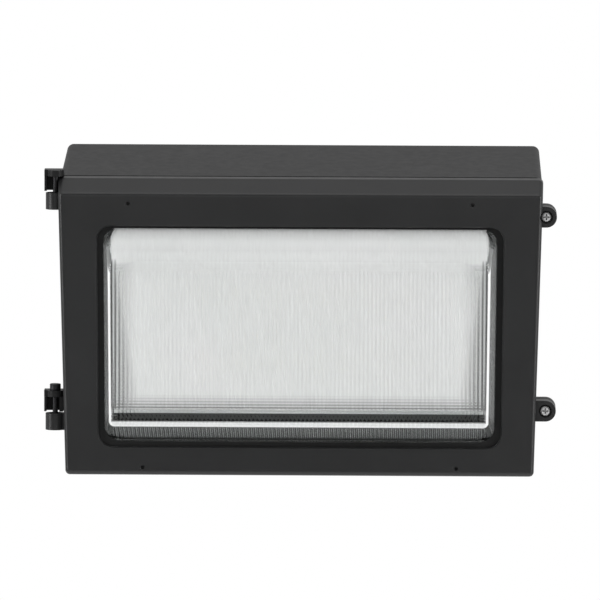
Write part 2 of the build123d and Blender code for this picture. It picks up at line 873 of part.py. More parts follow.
def make_tray_bush():
    front = tray_back_depth + sheet
    body = post(0, board_gap_z, tray_hole_radius - plug_fit, tray_back_depth, front)
    body += post(0, board_gap_z, tray_hole_radius + bush_lip, front, front + bush_lip / 2)
    return body - post(0, board_gap_z, bush_bore_radius, 0, front_depth)


# ---- LED boards ----
def connector_place(z):
    """Height of a board's connector, on the edge that faces the other board."""
    inward = 1 if board_gap_z > z else -1
    return z + inward * (board_width / 2 - connector_width / 2 - connector_inset)


def make_led_boards():
    boards = []
    for z in board_z:
        shape = Pos(0, z) * RectangleRounded(board_length, board_width, board_thickness)
        board = extrude(at_depth(board_back) * shape, board_thickness)
        for x, screw_z in board_screw_places():
            hole = board_screw_radius + slip
            board -= post(x, screw_z, hole, board_back - past, board_front + past)
        boards.append(board)
    return Compound(boards)


def make_leds():
    leds = []
    for z in board_z:
        for row in range(led_rows):
            row_z = z + (row - (led_rows - 1) / 2) * led_row_gap
            for column in range(leds_per_row):
                x = (column - (leds_per_row - 1) / 2) * led_pitch
                place = at_depth(board_front) * Pos(x, row_z)
                leds.append(place * extrude(Rectangle(led_length, led_width), led_height))
    return Compound(leds)


def board_screw_places():
    reach = board_length / 2 - board_screw_inset
    return [(side * reach, z) for z in board_z for side in (-1, 1)]


def make_board_connectors():
    connectors = []
    for z in board_z:
        place = at_depth(board_front) * Pos(0, connector_place(z))
        body = extrude(Rectangle(connector_length, connector_width), connector_height)
        connectors.append(place * body)
    return Compound(connectors)


# ---- Driver ----
def make_driver_case():
    back = back_wall + driver_pad_height
    half = driver_length / 2
    low = driver_z - driver_width / 2
    high = driver_z + driver_width / 2
    body = block(-half, half, back, driver_front, low, high)
    body = fillet(body.edges().filter_by(Axis.X), driver_edge_radius)
    reach = half + driver_ear
    ears = Pos(0, driver_z) * RectangleRounded(2 * reach, driver_ear_width, driver_ear / 2)
    body += extrude(at_depth(back) * ears, driver_ear_thickness)
    for side in (-1, 1):
        hole = driver_screw_radius + slip
        ear_front = driver_ear_front + past
        body -= post(side * driver_ear_x, driver_z, hole, back - past, ear_front)
    return body


# ---- Wiring ----
def lead(points, radius, bends):
    """Round lead along x, depth, z points, with a bend radius at each corner."""
    path = FilletPolyline(*[(x, -depth, z) for x, depth, z in points], radius=bends)
    section = Plane(path @ 0, z_dir=path % 0) * Circle(radius)
    return sweep(section, path)


def supply_lead(z, side_x, nut_x, depth):
    """From the driver's left end, round its side and up into a wire nut."""
    start = -driver_length / 2
    return lead(
        [
            (start, driver_lead_depth, z),
            (side_x, driver_lead_depth, z),
            (side_x, depth, driver_z + supply_turn),
            (nut_x, depth, nut_base_z - supply_nut_turn),
            (nut_x, depth, nut_base_z + nut_bore_depth),
        ],
        lead_radius,
        lead_bend,
    )


def make_live_lead():
    z = driver_z + driver_lead_half_gap
    return supply_lead(z, live_side_x, live_nut_x, nut_depth)


def make_neutral_lead():
    z = driver_z - driver_lead_half_gap
    return supply_lead(z, neutral_side_x, neutral_nut_x, neutral_nut_depth)


def make_ground_terminal():
    tongue = Pos(ground_x, ground_z) * Circle(ground_head_radius)
    tail_x = ground_x - terminal_length / 2
    tongue += Pos(tail_x, ground_z) * Rectangle(terminal_length, 2 * crimp_radius)
    tongue -= Pos(ground_x, ground_z) * Circle(ground_screw_radius + slip)
    body = extrude(at_depth(ground_pad_front) * tongue, terminal_thickness)
    crimp_start = Plane((crimp_end, -crimp_depth, ground_z), z_dir=(1, 0, 0))
    body += crimp_start * extrude(Circle(crimp_radius), crimp_length)
    bore = extrude(Circle(lead_radius + plug_fit), crimp_length - crimp_wall)
    return body - crimp_start * bore


def make_ground_lead():
    return lead(
        [
            (crimp_end + crimp_length - crimp_wall, crimp_depth, ground_z),
            (crimp_end - nut_length / 2, crimp_depth, ground_z),
            (
                ground_nut_x + ground_loop_width,
                ground_loop_depth,
                ground_loop_z + ground_loop_rise,
            ),
            (ground_nut_x + nut_length / 2, nut_depth, ground_loop_z),
            (ground_nut_x, nut_depth, ground_loop_z + nut_length / 2),
            (ground_nut_x, nut_depth, nut_base_z + nut_bore_depth),
        ],
        lead_radius,
        lead_bend / 2,
    )


def make_wire_nuts():
    nuts = []
    places = [
        (live_nut_x, nut_depth),
        (neutral_nut_x, neutral_nut_depth),
        (ground_nut_x, nut_depth),
    ]
    for x, depth in places:
        body = loft([Circle(nut_base_radius), Pos(0, 0, nut_length) * Circle(nut_tip_radius)])
        body = fillet(body.edges().sort_by(Axis.Z)[-1], nut_edge_radius)
        body -= extrude(Circle(lead_radius + plug_fit), nut_bore_depth)
        nuts.append(Pos(x, -depth, nut_base_z) * body)
    return Compound(nuts)


def make_led_lead(side):
    """From the driver's right end, round it and through the tray to the upper board."""
    z = driver_z + side * driver_lead_half_gap
    end_x = side * lead_pair_half_gap
    turn_x = driver_length / 2 + led_lead_turn - side * led_lead_step
    behind = (driver_front + tray_back_depth) / 2 + side * (2 * lead_radius + past)
    plug_depth = board_front + connector_height / 2
    connector_edge = connector_place(max(board_z)) - connector_width / 2
    return lead(
        [
            (driver_length / 2, driver_lead_depth, z),
            (turn_x, driver_lead_depth, z),
            (turn_x, behind, z + driver_ear),
            (end_x, behind, board_gap_z),
            (end_x, plug_depth, board_gap_z),
            (end_x, plug_depth, connector_edge),
        ],
        lead_radius,
        [lead_bend, lead_bend, lead_bend / 2, lead_bend / 2],
    )


def make_led_jumpers():
    depth = board_front + connector_height / 2
    low = connector_place(min(board_z)) + connector_width / 2
    high = connector_place(max(board_z)) - connector_width / 2
    return Compound([pin(x, depth, jumper_radius, low, high) for x in (-jumper_x, jumper_x)])


# ---- Build and write every piece ----
def pieces():
    lower_z, upper_z = lug_heights
    driver_places = [(side * driver_ear_x, driver_z) for side in (-1, 1)]
    return {
        "rear_housing": make_rear_housing(),
        "door_frame": make_door_frame(),
        "door_seal": make_door_seal(),
        "lens": make_lens(),
        "lens_gasket": make_lens_gasket(),
        "lens_clips": make_lens_clips(),
        "clip_screws": make_clip_screws(),
        "lower_hinge_pin": make_hinge_pin(lower_barrel_bottom, True),
        "upper_hinge_pin": make_hinge_pin(upper_barrel_bottom, False),
        "lower_door_screw": make_door_screw(lower_z),
        "upper_door_screw": make_door_screw(upper_z),
        "screw_retainers": make_screw_retainers(),
        "wiring_grommet": make_wiring_grommet(),
        "conduit_plugs": make_conduit_plugs(),
        "reflector_tray": make_reflector_tray(),
        "tray_screws": screws_at(
            tray_posts,
            tray_back_depth + sheet,
            tray_screw_radius,
            tray_screw_length,
            tray_head_radius,
            tray_head_height,
        ),
        "tray_bush": make_tray_bush(),
        "led_boards": make_led_boards(),
        "leds": make_leds(),
        "board_connectors": make_board_connectors(),
        "driver_case": make_driver_case(),
        "driver_screws": screws_at(
            driver_places,
            driver_ear_front,
            driver_screw_radius,
            driver_screw_length,
            tray_head_radius,
            tray_head_height,
        ),
        "board_screws": screws_at(
            board_screw_places(),
            board_front,
            board_screw_radius,
            board_screw_length,
            board_head_radius,
            board_head_height,
        ),
        "live_lead": make_live_lead(),
        "neutral_lead": make_neutral_lead(),
        "ground_lead": make_ground_lead(),
        "ground_terminal": make_ground_terminal(),
        "ground_screw": screws_at(
            [(ground_x, ground_z)],
            ground_pad_front + terminal_thickness,
            ground_screw_radius,
            driver_pad_height,
            ground_head_radius,
            ground_head_height,
        ),
        "wire_nuts": make_wire_nuts(),
        "led_lead_positive": make_led_lead(1),
        "led_lead_negative": make_led_lead(-1),
        "led_jumpers": make_led_jumpers(),
    }


os.makedirs("parts", exist_ok=True)
for name, shape in pieces().items():
    shape.label = name
    export_step(shape, f"parts/{name}.step")
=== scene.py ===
import math

import bpy
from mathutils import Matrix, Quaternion, Vector

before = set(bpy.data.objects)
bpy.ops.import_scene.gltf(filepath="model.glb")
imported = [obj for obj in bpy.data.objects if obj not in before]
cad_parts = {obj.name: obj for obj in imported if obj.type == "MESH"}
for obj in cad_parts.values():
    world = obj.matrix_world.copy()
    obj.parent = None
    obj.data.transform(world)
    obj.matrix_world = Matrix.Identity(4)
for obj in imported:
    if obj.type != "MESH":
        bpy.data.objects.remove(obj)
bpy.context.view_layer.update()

# ---- Camera: at the photo's viewing angle ----
CAMERA_TARGET = Vector((-0.0002, -0.120, 0.01324))
CAMERA_DISTANCE = 8.0
CAMERA_YAW = math.radians(0.86)
CAMERA_ELEVATION = math.radians(6.0)
CAMERA_ROLL = math.radians(0.2)
CAMERA_LENS = 642.0
CAMERA_NEAR = 0.1
CAMERA_FAR = 100.0

# ---- Floor, room and lamps ----
FLOOR_Z = -0.55
FLOOR_SOLID_RADIUS = 0.8
FLOOR_FADE_RADIUS = 1.9
WORLD_LIGHT = 0.62
WHITE = (1.0, 1.0, 1.0, 1.0)
FRONT_ROOM = 0.08  # how bright the room ahead of the light looks in gloss and glass
REAR_ROOM = 0.5  # and the room behind it, in gloss
REAR_THROUGH_GLASS = 1.0  # and seen through the glass
ROOM_TURN = (-0.35, 0.25)  # where the one goes over into the other, from front to back
LAMPS = (  # name, place, size, watts
    ("top_box", (0.0, -0.7, 2.2), (2.4, 1.6), 13.0),
    ("left_strip", (-2.0, -1.0, 0.5), (0.4, 1.8), 18.0),
    ("right_strip", (2.0, -1.0, 0.5), (0.4, 1.8), 20.0),
    ("front_box", (0.0, -3.2, 0.6), (2.6, 1.2), 7.0),
)

# ---- Glass: where its forms lie, in metres, and which way its surface faces there ----
FLUTE_PITCH = 0.00306
PRISM_PITCH = 0.0022
GLASS_DENSITY = 42.0
GLASS_DEPTH_COLOUR = (0.5, 0.51, 0.505, 1.0)
GLASS_SHADOW_COLOUR = (0.97, 0.975, 0.975, 1.0)
GLASS_ROUGHNESS = (0.06, 0.1)  # where it isn't frosted
GAP_FRONT = 0.1395  # the glass is painted with shade toward the gasket, from here to GAP_BACK, in depth
GAP_BACK = 0.135
GAP_PAINTED_SHADE = (0.12, 0.12, 0.12)
GAP_BROW = (0.2, 0.5)  # but not on the brow: upward share of the normal
GLASS_FRONT = 0.183  # the outside of the front of the glass lies ahead of this depth
FRONT_BOTTOM = -0.0704  # the bottom edge of the front starts to round here
FRONT_SIDE = 0.1372  # and its side edges here
RIM_FADE = 0.0015
SILL_TOP = -0.0628  # the thick underside of the glass ends at this height, inside
PAST_SIDES = (0.36, 0.46)  # forward share of the normal, past the sides and the underside
BEFORE_FRONT = (0.8, 0.87)  # and just before the flat front
ON_PRISMS = (0.8, 0.86)
BROW_START = (0.1, 0.2)  # upward share of the normal, where the brow starts
BROW_FACE = (0.12, 0.5)
BROW_TOP = (0.85, 0.98)
CORNER = (0.15, 0.35)  # sideways share of the normal, at the corners
FLAT_SIDE = (0.85, 0.95)
EDGE_FROST = 0.9  # how dull the glass is at its rounded front edges, from 0 to 1
BROW_FROST = 0.37  # at the brow
BROW_TOP_FROST = 0.1  # and more at the brow's top
SIDE_FROST = 0.18  # at the sides
LIP_FROST = 0.72  # along the bottom edge of the front
LIP_SIDE_FROST = 0.2  # and along its side edges
STIPPLE = 0.4  # on the prisms
STIPPLE_AT_SIDES = 0.55  # the share of it that is left at the sides
STIPPLE_ENDS = (0.12, 0.134)
FROST_ROUGHNESS = 0.3
RIB_STRENGTH = 0.45
FLUTE_DEPTH = 0.0004
PRISM_DEPTH = 0.0003
ON_WALLS = (0.35, 0.1)  # the flutes end where the wall turns sideways
ON_FLATS = (0.93, 0.99)  # the prisms end where it turns away from the front
# Painted shade on the glass ribs, standing in for the dark gap seen through them:
PAINTED_RIB_SHADE = (0.05, 0.05, 0.05)
BETWEEN_FLUTES = 0.15  # the share of the painted shade that is left between two ribs
BETWEEN_PRISMS = 0.25
FLUTE_SHADE_EDGE = (0.15, 0.85)
PRISM_SHADE_EDGE = (0.2, 0.8)
MOST_SHADE = 0.85
SIDE_SHADE_LOW = 0.022  # how far the painted dark ribs reach in from the sides, at the sill
SIDE_SHADE_HIGH = 0.002  # and at SIDE_SHADE_TOP
SIDE_SHADE_TOP = 0.04
LEVEL_SHADE = 0.012  # how far the painted dark level ribs reach up from the sill

# ---- Surfaces: colours, and how the grain of a metal is stretched along each axis ----
COAT = (0.0155, 0.0157, 0.0162)
CLIP_STEEL = (0.32, 0.32, 0.33)
ZINC = (0.96, 0.96, 0.965)
PIN_OXIDE = (0.05, 0.05, 0.052)
DRIVER_METAL = (0.6, 0.61, 0.63)
GREEN_ZINC = (0.06, 0.34, 0.13)
TINNED_COPPER = (0.72, 0.66, 0.56)
SEAL_RUBBER = (0.012, 0.012, 0.012)
GROMMET_RUBBER = (0.018, 0.018, 0.018)
RETAINER_BLACK = (0.02, 0.02, 0.02)
NYLON = (0.82, 0.81, 0.76)
BLACK_LEAD = (0.015, 0.015, 0.016)
WHITE_LEAD = (0.78, 0.78, 0.75)
GREEN_LEAD = (0.02, 0.2, 0.055)
RED_LEAD = (0.42, 0.015, 0.012)
ORANGE_NUT = (0.85, 0.22, 0.02)
ENAMEL = ((0.86, 0.87, 0.87), (0.9, 0.905, 0.9))
PHOSPHOR = ((0.82, 0.66, 0.16), (0.93, 0.82, 0.34))
GLASS_TINTS = ((0.96, 0.975, 0.97), (0.985, 0.99, 0.99))
SPECKLE = ((0.8, 0.8, 0.8), (1.0, 1.0, 1.0))
FLOOR_SHADES = ((0.88, 0.88, 0.88), (0.92, 0.92, 0.92))
BOARD = (0.84, 0.845, 0.83, 1.0)
BOARD_LIGHTER = (0.87, 0.87, 0.855, 1.0)
BOARD_TRACKS = (0.74, 0.75, 0.735, 1.0)
DRAWN = (40.0, 40.0, 900.0)
BRUSHED = (900.0, 30.0, 30.0)
EVEN_GRAIN = (300.0, 300.0, 300.0)
GRIME_AND_SHADE = 0.16  # the share of a metal's colour that is left under grime and painted shade
GRIME_AND_SHADE_REACH = 0.0015  # metal is painted darker, as grime and shade, where a neighbour is nearer than this


class Nodes:
    """A node tree, with short calls for the nodes that the looks share."""

    def __init__(self, tree):
        self.tree = tree

    def node(self, kind, **settings):
        made = self.tree.nodes.new(kind)
        for key, value in settings.items():
            setattr(made, key, value)
        return made

    def link(self, source, target):
        self.tree.links.new(source, target)

    def fill(self, socket, value):
        """Puts a number or a colour in a socket, or links an output to it."""
        if isinstance(value, (int, float)):
            socket.default_value = value
        elif isinstance(value, tuple):
            socket.default_value = (*value, 1.0)
        elif value is not None:
            self.link(value, socket)

    def math(self, operation, first, second=None):
        made = self.node("ShaderNodeMath", operation=operation)
        for socket, value in zip(made.inputs, (first, second)):
            self.fill(socket, value)
        return made.outputs[0]

    def times(self, first, second):
        return self.math("MULTIPLY", first, second)

    def plus(self, first, second, share):
        """The first, and a share of the second."""
        return self.math("ADD", first, self.times(second, share))

    def largest(self, first, *others):
        for other in others:
            first = self.math("MAXIMUM", first, other)
        return first

    def spread(self, source, low, high, start=0.3, end=0.7, **settings):
        """Goes from low to high as the source goes from start to end."""
        made = self.node("ShaderNodeMapRange", **settings)
        ends = {"Value": source, "From Min": start, "From Max": end, "To Min": low, "To Max": high}
        for key, value in ends.items():
            self.fill(made.inputs[key], value)
        return made.outputs["Result"]

    def blend(self, factor, first, second, mode="MIX"):
        made = self.node("ShaderNodeMix", data_type="RGBA", blend_type=mode)
        for place, value in ((0, factor), (6, first), (7, second)):
            self.fill(made.inputs[place], value)
        return made.outputs[2]

    def mix_shaders(self, factor, first, second):
        """The first shader where the factor is 0, and the second where it is 1."""
        made = self.node("ShaderNodeMixShader")
        for socket, value in zip(made.inputs, (factor, first, second)):
            self.link(value, socket)
        return made.outputs["Shader"]

    def part(self, vector, axis):
        """One axis of a place or a normal."""
        parts = self.node("ShaderNodeSeparateXYZ")
        self.link(vector, parts.inputs[0])
        return parts.outputs[axis]


class Shader(Nodes):
    """A material's node tree around its Principled BSDF."""

    def __init__(self, name):
        self.material = bpy.data.materials.new(name)
        self.material.use_nodes = True
        super().__init__(self.material.node_tree)
        self.surface = self.tree.nodes["Principled BSDF"]
        self.output = self.tree.nodes["Material Output"]
        places = self.node("ShaderNodeTexCoord")
        self.place = places.outputs["Object"]
        self.normal = places.outputs["Normal"]

    def set(self, **values):
        for key, value in values.items():
            self.surface.inputs[key.replace("_", " ")].default_value = value
        return self

    def colour(self, source):
        self.link(source, self.surface.inputs["Base Color"])

    def roughness(self, source):
        self.link(source, self.surface.inputs["Roughness"])

    def bump(self, source, strength, distance, under=None):
        made = self.node("ShaderNodeBump")
        inputs = {"Strength": strength, "Distance": distance, "Height": source, "Normal": under}
        for key, value in inputs.items():
            self.fill(made.inputs[key], value)
        self.link(made.outputs["Normal"], self.surface.inputs["Normal"])
        return made.outputs["Normal"]

    def noise(self, scale, detail=3.0, rough=0.5, stretch=None):
        made = self.node("ShaderNodeTexNoise")
        made.inputs["Scale"].default_value = scale
        made.inputs["Detail"].default_value = detail
        made.inputs["Roughness"].default_value = rough
        vector = self.stretched(stretch) if stretch else self.place
        self.link(vector, made.inputs["Vector"])
        return made.outputs["Fac"]

    def stretched(self, scale):
        mapping = self.node("ShaderNodeMapping")
        mapping.inputs["Scale"].default_value = scale
        self.link(self.place, mapping.inputs["Vector"])
        return mapping.outputs["Vector"]

    def wave(self, scale, direction):
        made = self.node("ShaderNodeTexWave", bands_direction=direction)
        made.inputs["Scale"].default_value = scale
        self.link(self.place, made.inputs["Vector"])
        return made.outputs["Fac"]

    def ripple(self, axis, pitch):
        """Even rounded ribs across one axis of the piece: 0 to 1 and back once a pitch."""
        turns = self.times(self.part(self.place, axis), 2 * math.pi / pitch)
        return self.spread(self.math("COSINE", turns), 0.0, 1.0, -1.0, 1.0)

    def ramp(self, source, shades, start=0.3, end=0.7):
        """Goes from the first shade to the second as the source goes from start to end."""
        made = self.node("ShaderNodeValToRGB")
        elements = made.color_ramp.elements
        for element, where, shade in zip(elements, (start, end), shades):
            element.position = where
            element.color = (*shade, 1.0)
        self.link(source, made.inputs["Fac"])
        return made.outputs["Color"]

    def crevice_grime_and_shade(self, reach):
        """0 deep in a recess, 1 in the open; a mask for painted shade and grime."""
        made = self.node("ShaderNodeAmbientOcclusion", samples=8)
        made.inputs["Distance"].default_value = reach
        return self.spread(made.outputs["AO"], 0.0, 1.0, 0.35, 0.95)

    def slope(self, axis):
        """How squarely the surface faces one axis, from either side."""
        return self.math("ABSOLUTE", self.part(self.normal, axis))

    def aside(self):
        """How far a point is from the middle, to either side."""
        return self.math("ABSOLUTE", self.part(self.place, "X"))

    def height(self):
        return self.part(self.place, "Z")


def around(colour, share):
    """A darker and a lighter neighbour of a colour."""
    dark = tuple(channel * (1 - share) for channel in colour)
    light = tuple(min(1.0, channel * (1 + share)) for channel in colour)
    return dark, light


def powder_coat(name, gloss, sheen, grain=1500.0):
    """Baked powder paint: fine orange peel, faint cloudiness, uneven gloss."""
    shader = Shader(name).set(Specular_IOR_Level=sheen)
    clouds = shader.ramp(shader.noise(26.0, detail=4.0), around(COAT, 0.1))
    flecks = shader.ramp(shader.noise(2600.0, detail=2.0), SPECKLE, 0.35, 0.68)
    shader.colour(shader.blend(1.0, clouds, flecks, "MULTIPLY"))
    shader.roughness(shader.spread(shader.noise(160.0), gloss - 0.02, gloss + 0.03))
    swell = shader.bump(shader.noise(38.0, detail=2.0), strength=0.015, distance=0.0004)
    peel = shader.noise(grain, rough=0.6)
    shader.bump(peel, strength=0.16, distance=0.00012, under=swell)
    return shader.material


def metal(name, colour, gloss, streak=DRAWN, fine=0.2):
    """Plated or bare metal: drawn streaks, and grime with painted shade where faces meet closely."""
    shader = Shader(name).set(Metallic=1.0)
    lines = shader.noise(3.0, detail=4.0, rough=0.6, stretch=streak)
    clean = shader.ramp(lines, around(colour, 0.12))
    # painted shade and grime: the colour darkens where another face is near
    dirty_and_shaded = tuple(channel * GRIME_AND_SHADE for channel in colour)
    shader.colour(shader.blend(shader.crevice_grime_and_shade(GRIME_AND_SHADE_REACH), dirty_and_shaded, clean))
    shader.roughness(shader.spread(shader.noise(500.0), gloss - 0.06, gloss + 0.1))
    shader.bump(lines, strength=fine, distance=0.00005)
    return shader.material


def plastic(name, colour, gloss, share=0.08):
    shader = Shader(name).set(Specular_IOR_Level=0.45)
    shader.colour(shader.ramp(shader.noise(70.0, detail=4.0), around(colour, share)))
    shader.roughness(shader.spread(shader.noise(300.0), gloss - 0.05, gloss + 0.08))
    shader.bump(shader.noise(900.0), strength=0.08, distance=0.0001)
    return shader.material


def rubber(name, colour):
    shader = Shader(name).set(Specular_IOR_Level=0.3)
    dust = shader.noise(120.0, detail=5.0, rough=0.65)
    shader.colour(shader.ramp(dust, around(colour, 0.3), 0.35, 0.75))
    shader.roughness(shader.spread(dust, 0.62, 0.8))
    shader.bump(shader.noise(700.0, detail=4.0), strength=0.2, distance=0.0002)
    return shader.material


def frosted_edges(shader):
    """How dull the pressing left the glass: its rounded front edges, less so sides and brow."""
    front = shader.slope("Y")
    sideways = shader.slope("X")
    upward = shader.part(shader.normal, "Z")
    not_brow = shader.spread(upward, 1.0, 0.0, *BROW_START)
    past_sides = shader.spread(front, 0.0, EDGE_FROST, *PAST_SIDES)
    before_front = shader.spread(front, 1.0, 0.0, *BEFORE_FRONT)
    edges = shader.times(not_brow, shader.times(past_sides, before_front))
    brow_face = shader.spread(upward, 0.0, BROW_FROST, *BROW_FACE)
    brow_top = shader.spread(upward, 0.0, 1.0, *BROW_TOP)
    not_corner = shader.spread(sideways, 1.0, 0.0, *CORNER)
    brow = shader.times(not_corner, shader.plus(brow_face, brow_top, BROW_TOP_FROST))
    sides = shader.times(not_brow, shader.spread(sideways, 0.0, SIDE_FROST, *FLAT_SIDE))
    lip = shader.times(at_front(shader), rim_of_front(shader))
    above_sill = shader.spread(shader.height(), 0.0, STIPPLE, SILL_TOP, SILL_TOP + RIM_FADE)
    on_prisms = shader.times(above_sill, shader.spread(front, 0.0, 1.0, *ON_PRISMS))
    toward_sides = shader.spread(shader.aside(), 1.0, STIPPLE_AT_SIDES, *STIPPLE_ENDS)
    stipple = shader.times(on_prisms, toward_sides)
    return shader.largest(edges, brow, sides, lip, stipple)


def at_front(shader):
    """1 on the outside of the front of the glass."""
    depth = shader.part(shader.place, "Y")
    return shader.spread(depth, 1.0, 0.0, -GLASS_FRONT, -GLASS_FRONT + RIM_FADE)


def rim_of_front(shader):
    """Dull along the bottom edge of the front, and less so along its side edges."""
    up = shader.height()
    below = shader.spread(up, LIP_FROST, 0.0, FRONT_BOTTOM - RIM_FADE, FRONT_BOTTOM)
    beside = shader.spread(shader.aside(), 0.0, LIP_SIDE_FROST, FRONT_SIDE, FRONT_SIDE + RIM_FADE)
    return shader.largest(below, beside)


def painted_rib_shade(shader):
    """Painted shade on the ribs, where they turn the view past the tray: at the sides and above the
    sill.
    """
    up = shader.height()
    reach = shader.spread(up, SIDE_SHADE_LOW, SIDE_SHADE_HIGH, SILL_TOP, SIDE_SHADE_TOP)
    from_edge = shader.math("ADD", shader.math("SUBTRACT", shader.aside(), FRONT_SIDE), reach)
    beside = shader.spread(shader.math("DIVIDE", from_edge, reach), 0.0, 1.0, 0.0, 1.0)
    flutes = shader.ripple("X", FLUTE_PITCH)
    upright = shader.spread(flutes, 1.0, BETWEEN_FLUTES, *FLUTE_SHADE_EDGE)
    low = shader.spread(up, 1.0, 0.0, SILL_TOP, SILL_TOP + LEVEL_SHADE)
    prisms = shader.ripple("Z", PRISM_PITCH)
    level = shader.spread(prisms, 1.0, BETWEEN_PRISMS, *PRISM_SHADE_EDGE)
    ribs = shader.largest(shader.times(beside, upright), shader.times(low, level))
    on_prisms = shader.spread(shader.slope("Y"), 0.0, MOST_SHADE, *ON_PRISMS)
    above_sill = shader.spread(up, 0.0, 1.0, SILL_TOP, SILL_TOP + RIM_FADE)
    return shader.times(ribs, shader.times(on_prisms, above_sill))


def pressed_glass(name):
    """Clear pressed glass, slightly wavy, with painted shade toward the gasket and on its ribs.
    Shadow rays pass, so the light reaches the inside.
    """
    # The export also reads this transmission, though the render takes the one linked below.
    shader = Shader(name).set(Transmission_Weight=1.0, IOR=1.5)
    clean = shader.ramp(shader.noise(14.0, detail=2.0), GLASS_TINTS)
    # painted shade: the glass colour darkens toward the gasket, except on the brow
    in_gap = shader.spread(shader.part(shader.place, "Y"), 0.0, 1.0, -GAP_FRONT, -GAP_BACK)
    below_brow = shader.spread(shader.part(shader.normal, "Z"), 1.0, 0.0, *GAP_BROW)
    gap_painted_shade = shader.blend(shader.times(in_gap, below_brow), clean, GAP_PAINTED_SHADE)
    # painted shade on the ribs
    shader.colour(shader.blend(painted_rib_shade(shader), gap_painted_shade, PAINTED_RIB_SHADE))
    frost = frosted_edges(shader)
    clear_share = shader.math("SUBTRACT", 1.0, frost)
    shader.link(clear_share, shader.surface.inputs["Transmission Weight"])
    polish = shader.spread(shader.noise(90.0), *GLASS_ROUGHNESS)
    shader.roughness(shader.plus(polish, frost, FROST_ROUGHNESS))
    on_walls = shader.spread(shader.slope("X"), 0.0, RIB_STRENGTH, *ON_WALLS)
    flutes = shader.bump(shader.ripple("X", FLUTE_PITCH), on_walls, FLUTE_DEPTH)
    on_flats = shader.spread(shader.slope("Y"), 0.0, RIB_STRENGTH, *ON_FLATS)
    shader.bump(shader.ripple("Z", PRISM_PITCH), on_flats, PRISM_DEPTH, flutes)
    let_through = shader.node("ShaderNodeBsdfTransparent")
    let_through.inputs["Color"].default_value = GLASS_SHADOW_COLOUR
    in_shadow = shader.node("ShaderNodeLightPath").outputs["Is Shadow Ray"]
    glass = shader.mix_shaders(in_shadow, shader.surface.outputs["BSDF"], let_through.outputs["BSDF"])
    shader.link(glass, shader.output.inputs["Surface"])
    depth = shader.node("ShaderNodeVolumeAbsorption")
    depth.inputs["Color"].default_value = GLASS_DEPTH_COLOUR
    depth.inputs["Density"].default_value = GLASS_DENSITY
    shader.link(depth.outputs["Volume"], shader.output.inputs["Volume"])
    return shader.material


def white_enamel(name):
    shader = Shader(name).set(Specular_IOR_Level=0.5)
    shader.colour(shader.ramp(shader.noise(18.0, detail=4.0), ENAMEL))
    shader.roughness(shader.spread(shader.noise(200.0), 0.32, 0.45))
    shader.bump(shader.noise(650.0, detail=2.0), strength=0.12, distance=0.0002)
    return shader.material


def circuit_board(name):
    """White solder mask with the copper tracks showing faintly through it."""
    shader = Shader(name).set(Specular_IOR_Level=0.5)
    tracks = shader.node("ShaderNodeTexBrick", offset=0.5)
    tracks.inputs["Scale"].default_value = 64.0
    tracks.inputs["Mortar Size"].default_value = 0.03
    tracks.inputs["Color1"].default_value = BOARD
    tracks.inputs["Color2"].default_value = BOARD_LIGHTER
    tracks.inputs["Mortar"].default_value = BOARD_TRACKS
    shader.link(shader.place, tracks.inputs["Vector"])
    shader.colour(tracks.outputs["Color"])
    shader.roughness(shader.spread(shader.noise(400.0), 0.28, 0.4))
    shader.bump(tracks.outputs["Fac"], strength=0.3, distance=0.0001)
    return shader.material


def phosphor(name):
    shader = Shader(name).set(Coat_Weight=0.6, Coat_Roughness=0.08, Specular_IOR_Level=0.5)
    grain = shader.noise(1800.0, detail=4.0)
    shader.colour(shader.ramp(grain, PHOSPHOR, 0.35))
    shader.roughness(shader.spread(grain, 0.35, 0.5))
    shader.bump(grain, strength=0.1, distance=0.0001)
    return shader.material


def moulded_nut(name):
    """Wire nut with moulded grip ribs."""
    shader = Shader(name).set(Specular_IOR_Level=0.5)
    ribs = shader.wave(150.0, "X")
    shader.colour(shader.ramp(ribs, around(ORANGE_NUT, 0.15), 0.2, 0.8))
    shader.roughness(shader.spread(shader.noise(300.0), 0.3, 0.42))
    shader.bump(ribs, strength=0.6, distance=0.0006)
    return shader.material


